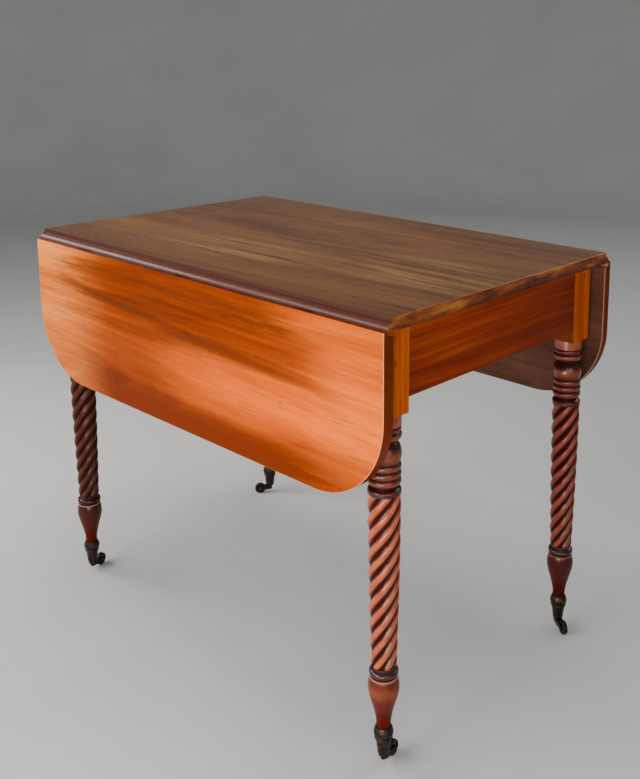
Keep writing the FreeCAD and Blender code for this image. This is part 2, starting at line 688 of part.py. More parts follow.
def top_board():
    """Fixed top: the rounded half of the rule joint runs along both long edges."""
    half = JOINT_LINE_Y
    foot = half + OVOLO_RADIUS
    rise = PIN_Z + OVOLO_RADIUS
    slant = OVOLO_RADIUS / math.sqrt(2)
    x = -TOP_LENGTH / 2
    corners = [
        Vector(x, foot, PIN_Z),
        Vector(x, half, rise),
        Vector(x, half, HEIGHT),
        Vector(x, -half, HEIGHT),
        Vector(x, -half, rise),
        Vector(x, -foot, PIN_Z),
        Vector(x, -foot, UNDERSIDE_Z),
        Vector(x, foot, UNDERSIDE_Z),
    ]
    rear_arc = Part.Arc(corners[0], Vector(x, half + slant, PIN_Z + slant), corners[1]).toShape()
    front_arc = Part.Arc(corners[4], Vector(x, -half - slant, PIN_Z + slant), corners[5]).toShape()
    edges = [
        rear_arc,
        Part.makeLine(corners[1], corners[2]),
        Part.makeLine(corners[2], corners[3]),
        Part.makeLine(corners[3], corners[4]),
        front_arc,
        Part.makeLine(corners[5], corners[6]),
        Part.makeLine(corners[6], corners[7]),
        Part.makeLine(corners[7], corners[0]),
    ]
    board = Part.Face(Part.Wire(edges)).extrude(Vector(TOP_LENGTH, 0, 0))
    ends = [edge for edge in board.Edges if is_end_arris(edge)]
    board = board.makeFillet(ARRIS_RADIUS, ends)
    cuts = [top_screw(x, y, SCREW_HOLE_GAP) for _, x, y in block_places()]
    for x in HINGE_PLACES:
        mortises = top_mortise(x)
        cuts += mortises + [flip_y(mortise) for mortise in mortises]
    return board.cut(cuts)


def is_end_arris(edge):
    """True for the upper edge at each end of the top."""
    bounds = edge.BoundBox
    return bounds.ZMin > HEIGHT - ARRIS_RADIUS and bounds.XLength < ARRIS_RADIUS


def rear_leaf():
    """Rear leaf, hanging: hollow half of the rule joint at its upper edge, lower corners rounded."""
    slant = LEAF_EDGE_RADIUS / math.sqrt(2)
    lip = math.sqrt(LEAF_EDGE_RADIUS ** 2 - RULE_JOINT_GAP ** 2)
    points = [
        hinge_point(lip, -RULE_JOINT_GAP),
        hinge_point(PIN_DEPTH, -RULE_JOINT_GAP),
        hinge_point(PIN_DEPTH, -LEAF_WIDTH),
        hinge_point(-FLAP_THICKNESS, -LEAF_WIDTH),
        hinge_point(-FLAP_THICKNESS, -LEAF_EDGE_RADIUS),
        hinge_point(0, -LEAF_EDGE_RADIUS),
    ]
    edges = [Part.makeLine(points[i], points[i + 1]) for i in range(len(points) - 1)]
    edges.append(Part.Arc(points[-1], hinge_point(slant, -slant), points[0]).toShape())
    board = Part.Face(Part.Wire(edges)).extrude(Vector(TOP_LENGTH, 0, 0))
    board.translate(Vector(-TOP_LENGTH / 2, 0, 0))
    board = board.common(leaf_outline())
    rim = [edge for edge in board.Edges if is_leaf_rim(edge)]
    board = board.makeFillet(ARRIS_RADIUS, rim)
    cuts = []
    for x in HINGE_PLACES:
        cuts += leaf_mortise(x)
    return board.cut(cuts)


def leaf_outline():
    """Prism of the leaf's outline, seen from the side: a rectangle with two round lower corners."""
    half = TOP_LENGTH / 2
    bottom = PIN_Z - LEAF_WIDTH
    radius = LEAF_CORNER_RADIUS
    y = JOINT_LINE_Y - BOARD_THICKNESS
    inset = radius * (1 - 1 / math.sqrt(2))
    points = [
        Vector(-half, y, PIN_Z),
        Vector(-half, y, bottom + radius),
        Vector(-half + radius, y, bottom),
        Vector(half - radius, y, bottom),
        Vector(half, y, bottom + radius),
        Vector(half, y, PIN_Z),
    ]
    left_corner = Part.Arc(points[1], Vector(-half + inset, y, bottom + inset), points[2]).toShape()
    right_corner = Part.Arc(points[3], Vector(half - inset, y, bottom + inset), points[4]).toShape()
    edges = [
        Part.makeLine(points[0], points[1]),
        left_corner,
        Part.makeLine(points[2], points[3]),
        right_corner,
        Part.makeLine(points[4], points[5]),
        Part.makeLine(points[5], points[0]),
    ]
    return Part.Face(Part.Wire(edges)).extrude(Vector(0, 2 * BOARD_THICKNESS, 0))


def is_leaf_rim(edge):
    """True for the outer arris round the leaf, without the joint at its upper edge."""
    bounds = edge.BoundBox
    outer_y = JOINT_LINE_Y + PIN_DEPTH
    on_outer_face = bounds.YMin > outer_y - ARRIS_RADIUS / 2
    return on_outer_face and bounds.ZMin < PIN_Z - LEAF_EDGE_RADIUS


# Fly brackets, drawn for the rear right corner


def finger_limits(finger):
    """Bottom and top of one finger of the knuckle joint, with half a gap at each inner end."""
    bottom = FLY_BOTTOM_Z + finger * FINGER_HEIGHT
    top = bottom + FINGER_HEIGHT
    if finger > 0:
        bottom += FINGER_GAP / 2
    if finger < FINGER_COUNT - 1:
        top -= FINGER_GAP / 2
    return bottom, top


def fingers(first, toward_x):
    """Every second finger of a knuckle joint: a round knuckle on a half-thick neck."""
    pieces = []
    for finger in range(first, FINGER_COUNT, 2):
        bottom, top = finger_limits(finger)
        x0 = min(FLY_PIVOT_X, FLY_PIVOT_X + toward_x)
        x1 = max(FLY_PIVOT_X, FLY_PIVOT_X + toward_x)
        pieces.append(rod(KNUCKLE_RADIUS, Vector(FLY_PIVOT_X, FLY_PIVOT_Y, bottom), Z_AXIS, top - bottom))
        pieces.append(box(x0, x1, FLY_INNER_Y, FLY_PIVOT_Y, bottom, top))
    return pieces


def fly_pin(gap=0.0):
    """Iron pin down through the knuckle joint."""
    return rod(FLY_PIN_RADIUS + gap, Vector(FLY_PIVOT_X, FLY_PIVOT_Y, FLY_BOTTOM_Z), Z_AXIS, FLY_HEIGHT)


def fly():
    """Rear right fly: fingers at the pivot, and a free end scooped out below for the hand."""
    root = FLY_PIVOT_X + KNUCKLE_RELIEF
    board = box(root, FLY_TIP_X, FLY_INNER_Y, FLY_OUTER_Y, FLY_BOTTOM_Z, FLY_TOP_Z)
    scoop = rod(FLY_SCOOP_RADIUS, Vector(FLY_TIP_X, FLY_INNER_Y, FLY_BOTTOM_Z), Y_AXIS, FLY_THICKNESS)
    board = board.cut(scoop)
    board = board.fuse(fingers(1, KNUCKLE_RELIEF)).removeSplitter()
    return board.cut(fly_pin(RUNNING_GAP))


def fly_rail_half():
    """Right half of the rear fly rail, with its fingers at the pivot."""
    root = FLY_PIVOT_X - KNUCKLE_RELIEF
    board = box(0, root, RAIL_OUTER_Y, FLY_OUTER_Y, FLY_BOTTOM_Z, FLY_TOP_Z)
    return board.fuse(fingers(0, -KNUCKLE_RELIEF))


def fly_rail():
    """Rear fly rail: fixed to the inner rail, with a knuckle joint at each end."""
    half = fly_rail_half()
    rail = half.fuse(flip_x(half)).removeSplitter()
    pin = fly_pin(RUNNING_GAP)
    return rail.cut([pin, flip_x(pin)] + fly_rail_screws(SCREW_HOLE_GAP))


def fly_rail_screws(gap=0.0):
    """Screws that hold the rear fly rail to the inner rail."""
    middle_z = (FLY_BOTTOM_Z + FLY_TOP_Z) / 2
    screws = []
    for x in (-FLY_RAIL_SCREW_X, FLY_RAIL_SCREW_X):
        for z in (middle_z - FLY_RAIL_SCREW_SPACING / 2, middle_z + FLY_RAIL_SCREW_SPACING / 2):
            place = Vector(x, FLY_OUTER_Y, z)
            screws.append(
                countersunk_screw(FLY_RAIL_SCREW_RADIUS, FLY_RAIL_SCREW_LENGTH, place, -Y_AXIS, gap)
            )
    return screws


# Casters, drawn about the pivot with the wheel trailing towards +X


def caster_cup():
    """Cast cup on the foot of a leg: ring and bead over a tapered body, with a floor for the pivot."""
    turning = Turning(CUP_MOUTH_RADIUS + CUP_WALL, CUP_TOP_Z)
    upper_drop = CUP_RING_HEIGHT * CUP_RING_UPPER_SHARE
    turning.sweep(CUP_RING_RADIUS, upper_drop, 0, CUP_RING_PULL)
    turning.sweep(CUP_BODY_RADIUS + CUP_WALL / 2, CUP_RING_HEIGHT - upper_drop, CUP_RING_PULL, 0)
    turning.bead(CUP_BEAD_RADIUS, CUP_BEAD_HEIGHT)
    turning.step(CUP_BODY_RADIUS)
    turning.slope(CUP_BOTTOM_RADIUS, CUP_BODY_DROP - CUP_CHAMFER)
    turning.slope(CUP_BOTTOM_RADIUS - CUP_CHAMFER, CUP_CHAMFER)
    bore = Turning(CUP_MOUTH_RADIUS + CUP_FIT_GAP, CUP_TOP_Z)
    bore.slope(FOOT_TIP_RADIUS + CUP_FIT_GAP, CUP_DEPTH)
    pivot_hole = rod(PIVOT_RADIUS + RUNNING_GAP, Vector(0, 0, CUP_BOTTOM_Z), Z_AXIS, CUP_FLOOR)
    return turning.solid().cut([bore.solid(), pivot_hole, cup_screw(SCREW_HOLE_GAP)])


def cup_screw(gap=0.0):
    """Small screw through the side of the cup into the foot, on the side away from the wheel."""
    z = CUP_BOTTOM_Z + CUP_SCREW_HEIGHT
    share = CUP_SCREW_HEIGHT / CUP_BODY_DROP
    surface = CUP_BOTTOM_RADIUS + (CUP_BODY_RADIUS - CUP_BOTTOM_RADIUS) * share
    return countersunk_screw(CUP_SCREW_RADIUS, CUP_SCREW_LENGTH, Vector(-surface, 0, z), X_AXIS, gap)


def caster_pivot():
    """Pivot pin fixed in the cup's floor, with a riveted head that carries the horn."""
    turning = Turning(PIVOT_RADIUS, CUP_FLOOR_Z)
    head_top_z = PIVOT_GROUND_CLEARANCE + PIVOT_HEAD_HEIGHT
    turning.slope(PIVOT_RADIUS, CUP_FLOOR_Z - head_top_z).step(PIVOT_HEAD_RADIUS)
    turning.slope(PIVOT_HEAD_RADIUS, PIVOT_HEAD_HEIGHT / 2)
    turning.slope(PIVOT_RADIUS, PIVOT_HEAD_HEIGHT / 2)
    return turning.solid()


def cheek_outline(y):
    """Side outline of the horn: tangent lines from the hub to the eye round the axle."""
    hub_radius = HORN_HUB_HEIGHT / 2
    hub_z = HORN_BOTTOM_Z + hub_radius
    rise = AXLE_Z - hub_z
    span = math.hypot(TRAIL, rise)
    lean = math.atan2(rise, TRAIL)
    spread = math.acos((hub_radius - CHEEK_EYE_RADIUS) / span)

    def on_circle(x, z, radius, angle):
        return Vector(x + radius * math.cos(angle), y, z + radius * math.sin(angle))

    hub_top = on_circle(0, hub_z, hub_radius, lean + spread)
    hub_bottom = on_circle(0, hub_z, hub_radius, lean - spread)
    hub_back = on_circle(0, hub_z, hub_radius, lean + math.pi)
    eye_top = on_circle(TRAIL, AXLE_Z, CHEEK_EYE_RADIUS, lean + spread)
    eye_bottom = on_circle(TRAIL, AXLE_Z, CHEEK_EYE_RADIUS, lean - spread)
    eye_end = on_circle(TRAIL, AXLE_Z, CHEEK_EYE_RADIUS, lean)
    edges = [
        Part.makeLine(hub_top, eye_top),
        Part.Arc(eye_top, eye_end, eye_bottom).toShape(),
        Part.makeLine(eye_bottom, hub_bottom),
        Part.Arc(hub_bottom, hub_back, hub_top).toShape(),
    ]
    return Part.Face(Part.Wire(edges))


def caster_horn():
    """Swivelling horn: a tapered hub on the pivot, and two cheeks that hold the axle."""
    hub = Turning(HORN_HUB_TOP_RADIUS, HORN_TOP_Z).slope(HORN_HUB_BOTTOM_RADIUS, HORN_HUB_HEIGHT).solid()
    fork = cheek_outline(-CHEEK_OUTER).extrude(Vector(0, 2 * CHEEK_OUTER, 0))
    axle_middle = Vector(TRAIL, 0, AXLE_Z)
    slot = rod(WHEEL_RADIUS + WHEEL_RIM_GAP, axle_middle - Y_AXIS * CHEEK_INNER, Y_AXIS, 2 * CHEEK_INNER)
    eye = rod(AXLE_RADIUS + RUNNING_GAP, axle_middle - Y_AXIS * CHEEK_OUTER, Y_AXIS, 2 * CHEEK_OUTER)
    bore = rod(PIVOT_RADIUS + RUNNING_GAP, Vector(0, 0, HORN_BOTTOM_Z), Z_AXIS, HORN_HUB_HEIGHT)
    head_room = rod(PIVOT_HEAD_RADIUS + THRUST_GAP, ORIGIN, Z_AXIS, HORN_BOTTOM_Z)
    return hub.fuse(fork).removeSplitter().cut([slot, eye, bore, head_room])


def caster_axle():
    """Axle through both cheeks, with a riveted head at each end."""
    end = Vector(TRAIL, -CHEEK_OUTER, AXLE_Z)
    shank = rod(AXLE_RADIUS, end, Y_AXIS, 2 * CHEEK_OUTER)
    near_head = rod(AXLE_HEAD_RADIUS, end, -Y_AXIS, AXLE_HEAD_HEIGHT)
    far_head = rod(AXLE_HEAD_RADIUS, end + Y_AXIS * 2 * CHEEK_OUTER, Y_AXIS, AXLE_HEAD_HEIGHT)
    return shank.fuse([near_head, far_head]).removeSplitter()


def caster_wheel():
    """Turned wheel with eased edges and a shallow dish in each face, between hub and rim."""
    half = WHEEL_WIDTH / 2
    wheel = rod(WHEEL_RADIUS, Vector(0, 0, -half), Z_AXIS, WHEEL_WIDTH)
    rims = [edge for edge in wheel.Edges if edge.BoundBox.ZLength < WHEEL_WIDTH / 2]
    wheel = wheel.makeFillet(WHEEL_EDGE_RADIUS, rims)
    dish_radius = WHEEL_RADIUS - WHEEL_RIM_WIDTH
    for z in (-half, half - WHEEL_DISH_DEPTH):
        dish = rod(dish_radius, Vector(0, 0, z), Z_AXIS, WHEEL_DISH_DEPTH)
        wheel = wheel.cut(dish.cut(rod(WHEEL_HUB_RADIUS, Vector(0, 0, z), Z_AXIS, WHEEL_DISH_DEPTH)))
    wheel = wheel.cut(rod(AXLE_RADIUS + RUNNING_GAP, Vector(0, 0, -half), Z_AXIS, WHEEL_WIDTH))
    wheel.rotate(ORIGIN, X_AXIS, 90)
    wheel.translate(Vector(TRAIL, 0, AXLE_Z))
    return wheel


def turned(shape, angle):
    """Copy of a piece turned about the leg's axis."""
    copy = shape.copy()
    copy.rotate(ORIGIN, Z_AXIS, angle)
    return copy


def at_leg(shape, corner):
    """Copy of a piece drawn about the leg's axis, set on one corner."""
    placed = shape.copy()
    placed.translate(Vector(corner.end * LEG_X, corner.side * LEG_Y, 0))
    return placed


def at_caster(shape, corner):
    """Copy of a caster piece, turned the way its caster trails and set on one corner."""
    return at_leg(turned(shape, corner.trail_angle), corner)


def build():
    """Make every piece and write it to its own file."""
    os.makedirs("parts", exist_ok=True)

    save("top_board", top_board())
    leaf = rear_leaf()
    apron = end_apron()
    rail = side_rail()
    fly_rail_piece = fly_rail()
    fly_piece = fly()
    for name, flip in (("rear", Part.Shape.copy), ("front", flip_y)):
        save(name + "_leaf", flip(leaf))
        save(name + "_inner_rail", flip(rail))
        save(name + "_fly_rail", flip(fly_rail_piece))
        save(name + "_hinge_top_flaps", *[flip(hinge_top_flap(x)) for x in HINGE_PLACES])
        save(name + "_hinge_leaf_flaps", *[flip(hinge_leaf_flap(x)) for x in HINGE_PLACES])
        screws = [hinge_leaf_screw(place) for x in HINGE_PLACES for place in leaf_screw_places(x)]
        save(name + "_hinge_leaf_screws", *[flip(screw) for screw in screws])
    for name, flip in (("right", Part.Shape.copy), ("left", flip_x)):
        save(name + "_end_apron", flip(apron))

    rear_pins = [hinge_pin(x) for x in HINGE_PLACES]
    save("leaf_hinge_pins", *rear_pins, *[flip_y(pin) for pin in rear_pins])
    rear_screws = [hinge_top_screw(place) for x in HINGE_PLACES for place in top_screw_places(x)]
    save("hinge_top_screws", *rear_screws, *[flip_y(screw) for screw in rear_screws])
    rear_screws = fly_rail_screws()
    save("fly_rail_screws", *rear_screws, *[flip_y(screw) for screw in rear_screws])
    blocks = block_places()
    screw_holes = [top_screw(x, y, SCREW_HOLE_GAP) for _, x, y in blocks]
    save("glue_blocks", *[block.cut(hole) for (block, _, _), hole in zip(blocks, screw_holes)])
    save("top_screws", *[top_screw(x, y) for _, x, y in blocks])

    lower_leg = turned_leg()
    square_post = post()
    pegs = [peg(z, toward) for z in PEG_LEVELS for toward in ("end", "side")]
    save("tenon_pegs", *[on_corner(pin, corner) for corner in CORNERS for pin in pegs])
    save("fly_hinge_pins", *[on_corner(fly_pin(), corner) for corner in CORNERS])
    save("caster_pivots", *[at_leg(caster_pivot(), corner) for corner in CORNERS])
    save("caster_cup_screws", *[at_caster(cup_screw(), corner) for corner in CORNERS])

    cup = caster_cup()
    horn = caster_horn()
    axle = caster_axle()
    wheel = caster_wheel()
    foot_hole = cup_screw(SCREW_HOLE_GAP)
    for corner in CORNERS:
        leg = on_corner(square_post, corner).fuse(turned(lower_leg, corner.twist_start))
        leg = leg.cut(turned(foot_hole, corner.trail_angle))
        save("leg_" + corner.name, at_leg(leg, corner))
        save(corner.name + "_fly", on_corner(fly_piece, corner))
        save("caster_cup_" + corner.name, at_caster(cup, corner))
        save("caster_horn_" + corner.name, at_caster(horn, corner))
        save("caster_axle_" + corner.name, at_caster(axle, corner))
        save("caster_wheel_" + corner.name, at_caster(wheel, corner))


build()
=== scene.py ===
import json
import math

import bpy
from mathutils import Matrix, Vector

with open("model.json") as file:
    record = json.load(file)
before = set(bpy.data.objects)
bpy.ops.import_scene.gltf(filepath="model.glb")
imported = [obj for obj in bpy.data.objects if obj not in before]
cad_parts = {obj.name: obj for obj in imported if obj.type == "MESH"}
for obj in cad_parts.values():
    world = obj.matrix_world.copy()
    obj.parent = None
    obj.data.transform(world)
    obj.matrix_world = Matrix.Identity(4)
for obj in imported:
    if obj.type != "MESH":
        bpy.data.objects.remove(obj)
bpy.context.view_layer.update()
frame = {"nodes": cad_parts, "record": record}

# Pembroke table: finishes, floor, light and camera. Metres, +Z up, in the part's own frame.
MM = 0.001

# Camera, as the photograph was taken
PHOTO_WIDTH = 640
PHOTO_HEIGHT = 779
FOCAL_PIXELS = 981.6
OPTICAL_CENTRE = (385.7, 221.2)
CAMERA_PLACE = Vector((1.3180, -1.2322, 1.1008))
CAMERA_AZIMUTH = math.radians(42.42)
CAMERA_PITCH = math.radians(10.55)
CAMERA_ROLL = math.radians(0.19)
SENSOR_WIDTH = 36.0

# Top and leaves, from the CAD model
TOP_EDGE_Y = 282 * MM
TOP_BOTTOM_Z = 710 * MM
LEAF_INSIDE_Y = 279.5 * MM

# Legs, from the CAD model
LEG_X = 415 * MM
LEG_Y = 245 * MM
POST_BOTTOM_Z = 571.5 * MM
COLLAR_BOTTOM_Z = 555 * MM
CAP_LIP_TOP_Z = 454.7 * MM
TWIST_TOP_Z = 450.2 * MM
TWIST_BOTTOM_Z = 170 * MM
TWIST_TOP_RADIUS = 25 * MM
TWIST_BOTTOM_RADIUS = 20 * MM
STRAND_EDGE_DROP = 2.2 * MM
HOLLOW_DROP = 4.2 * MM
GROOVE_RADIUS = 23 * MM
GROOVE_EDGE_RADIUS = GROOVE_RADIUS + 1.3 * MM
BEAD_CREST_RADIUS = GROOVE_RADIUS + 3.5 * MM
FOOT_RING_BOTTOM_Z = 154 * MM
FOOT_FILLET_BOTTOM_Z = 151 * MM
VASE_SHOULDER_Z = 130 * MM
VASE_SHOULDER_REACH = 20 * MM
ANKLE_Z = 70 * MM

# Half the width of the middle of the table, where finishes and painted shade may change between one leg and
# the next
MIDDLE = 0.1

# Growth rings of the boards and of the pegs, and how far the rings wander
RING_WIDTH = 11 * MM
PEG_RING_WIDTH = 4 * MM
RING_WANDER = 18 * MM

# Depths of the pores in polished and bare wood, and of the grain of the metals
POLISHED_PORE_DEPTH = 0.05 * MM
BARE_PORE_DEPTH = 0.15 * MM
BRASS_GRAIN_DEPTH = 0.06 * MM
IRON_GRAIN_DEPTH = 0.08 * MM

# Woods, each from its dark to its light figure
LEAF_AMBER = ((0.155, 0.018, 0.0), (0.33, 0.046, 0.0), (0.60, 0.125, 0.007))
# Pale ends and middle of the leaves: painted light and sheen
LEAF_LIT_END = ((0.62, 0.120, 0.010), (0.95, 0.255, 0.042), (1.0, 0.380, 0.090))
LEAF_LIT_MIDDLE = ((0.46, 0.066, 0.0), (0.86, 0.128, 0.002), (1.0, 0.180, 0.006))
# Insides of the leaves: duller wood darkened with painted shade from under the table
LEAF_INSIDE_SHADED = ((0.06, 0.022, 0.014), (0.115, 0.047, 0.030), (0.18, 0.080, 0.052))
TOP_BROWN = ((0.060, 0.018, 0.005), (0.140, 0.050, 0.013), (0.225, 0.090, 0.024))
TOP_END_GRAIN = ((0.055, 0.008, 0.002), (0.21, 0.043, 0.004), (0.42, 0.155, 0.018))
APRON_RED_BROWN = ((0.085, 0.007, 0.0), (0.26, 0.029, 0.0), (0.50, 0.090, 0.003))
POST_ORANGE = ((0.26, 0.032, 0.0), (0.47, 0.080, 0.0), (0.68, 0.155, 0.004))
TURNING_RED = ((0.055, 0.005, 0.001), (0.105, 0.013, 0.003), (0.17, 0.028, 0.008))
PEG_BROWN = ((0.14, 0.014, 0.0), (0.26, 0.036, 0.001), (0.40, 0.070, 0.003))
SECONDARY_WOOD = ((0.16, 0.09, 0.04), (0.27, 0.17, 0.085), (0.38, 0.26, 0.14))
FLY_WOOD = ((0.12, 0.06, 0.026), (0.22, 0.12, 0.055), (0.32, 0.19, 0.09))

# Wear, dirt and marks on the leaves, top and aprons, with painted highlights on the arrises
LEAF_STREAK = (0.105, 0.019, 0.002)
LEAF_LINE = (0.14, 0.018, 0.0)
LEAF_SPECK = (0.07, 0.02, 0.008)
LEAF_EDGE = (0.070, 0.011, 0.002)
# Pale arris lines: wear with painted highlights
LEAF_ARRIS = (0.95, 0.42, 0.19)
LEAF_RUBBED_AND_LIT = (0.75, 0.36, 0.19)
TOP_FADED = (0.33, 0.180, 0.055)
TOP_END_BOTTOM_DARK = (0.040, 0.007, 0.003)
TOP_QUIRK = (0.050, 0.010, 0.005)
TOP_OVOLO = (0.095, 0.023, 0.014)
TOP_ARRIS = (0.42, 0.16, 0.05)
APRON_SPECK = (0.05, 0.014, 0.006)

# Wear, dirt, painted shade and painted highlights on the legs
POST_INNER_SHADE = (0.075, 0.022, 0.010)
BEAD_SHADE = (0.050, 0.006, 0.003)
BEAD_WEAR_AND_HIGHLIGHT = (0.40, 0.078, 0.022)
COLLAR_HIGHLIGHT = (0.42, 0.100, 0.034)
STRAND_WEAR_AND_LIGHT = (0.50, 0.092, 0.026)
SHOULDER_REFLECTION = (0.32, 0.085, 0.028)
VASE_LOWER_SHADE = (0.075, 0.003, 0.0)
REAR_VASE_SHADE = (0.030, 0.001, 0.001)
REAR_LEG_SHADE = (0.085, 0.001, 0.001)
LEFT_LEG_SHADE = (0.030, 0.004, 0.003)
GRIME_AND_SHADE = (0.022, 0.006, 0.005)
RING_BLACK = (0.030, 0.010, 0.010)
FILLET_HIGHLIGHT = (0.50, 0.22, 0.12)

# Metals, each from its dark to its light patina
BRASS = ((0.008, 0.004, 0.003), (0.020, 0.010, 0.006), (0.058, 0.032, 0.015))
BRASS_BLACK = (0.006, 0.004, 0.004)
BRASS_DARK_TOP_Z = 34 * MM
HINGE_IRON = ((0.030, 0.024, 0.020), (0.10, 0.075, 0.055))
FORGED_IRON = ((0.022, 0.019, 0.017), (0.085, 0.07, 0.058))
SCREW_IRON = ((0.04, 0.034, 0.030), (0.13, 0.11, 0.095))

# Places of the marks on the leaves, the pale ones painted light and sheen: where each begins to show and
# where it shows fully
UPPER_DARK_LEFT_X = (-0.28, -0.06)
UPPER_DARK_RIGHT_X = (0.38, 0.18)
UPPER_DARK_Z = (0.565, 0.625)
LOWER_DARK_X = (0.50, 0.15)
LOWER_DARK_Z = (0.53, 0.46)
PALE_END_X = (-0.20, -0.42)
BAND_X = (-0.12, 0.10)
RIGHT_END_X = (0.27, 0.41)
UPPER_RIGHT_X = (0.18, 0.32)
UPPER_RIGHT_Z = (0.645, 0.68)
STREAKS_LEFT_X = (-0.44, -0.30)
STREAKS_RIGHT_X = (0.38, 0.22)
RUBBED_EDGE_Y = (LEAF_INSIDE_Y + 3.5 * MM, LEAF_INSIDE_Y + 2 * MM)

# Heights of marks on the leaves, the pale band and right end painted light: the middle and the reach up and
# down
BAND_Z = (0.550, 0.08)
RIGHT_END_Z = (0.60, 0.18)
STREAKS_Z = (0.650, 0.10)

# Faded patches of the top: middle x and y, and reach along x and y
FADED_PATCHES = ((-0.02, -0.13, 0.30, 0.10), (0.33, -0.06, 0.22, 0.14))

# Places on the top and aprons: where each mark is weakest and where it is strongest
TOP_REAR_Y = (0.0, 0.25)
END_BOTTOM_DARK_Y = (-0.25, 0.1)
END_BOTTOM_DARK_Z = (TOP_BOTTOM_Z + 7 * MM, TOP_BOTTOM_Z)
QUIRK_Y = (TOP_EDGE_Y - 0.4 * MM, TOP_EDGE_Y)
OVOLO_Y = (TOP_EDGE_Y + 0.2 * MM, TOP_EDGE_Y + 1 * MM)
APRON_REAR_Y = (-0.15, 0.20)

# Change of tone where the colour is darker; toward the rear of the aprons this is painted shade
UPPER_DARK_TONE = -0.07
LOWER_DARK_TONE = -0.20
TOP_REAR_TONE = -0.05
APRON_REAR_SHADE_TONE = -0.07

# Floor that curves up into a wall
FLOOR_TONES = ((0.3, (0.55, 0.56, 0.56)), (0.7, (0.61, 0.61, 0.61)))
FLOOR_REACH = 4.5
COVE_RADIUS = 2.0
WALL_TOP = 5.5
COVE_STEPS = 12
FLOOR_SIDES = 96

# Lights: name, place, point aimed at, width, height, watts and colour
LIGHTS = (
    ("key", (-1.0, -2.9, 1.75), (0.0, -0.1, 0.4), 3.0, 1.5, 100, (1.0, 0.97, 0.94)),
    ("side", (2.9, -1.8, 0.9), (0.3, -0.05, 0.45), 3.4, 1.5, 40, (1.0, 0.95, 0.88)),
    ("low", (0.70, -1.20, 0.28), (0.40, -0.25, 0.80), 0.9, 0.30, 10, (1.0, 0.96, 0.90)),
    ("left", (-1.6, -0.95, 1.25), (-0.46, -0.30, 0.58), 0.8, 0.6, 17, (1.0, 0.97, 0.93)),
    ("top", (0.1, 0.2, 2.8), (0.1, 0.2, 0.0), 1.8, 1.8, 39, (1.0, 0.99, 0.97)),
    ("rear", (1.0, 3.3, 2.6), (0.0, 0.1, 0.5), 3.0, 1.5, 25, (0.95, 0.98, 1.0)),
)
SKY_COLOUR = (0.95, 1.0, 1.0, 1.0)
SKY_STRENGTH = 0.10


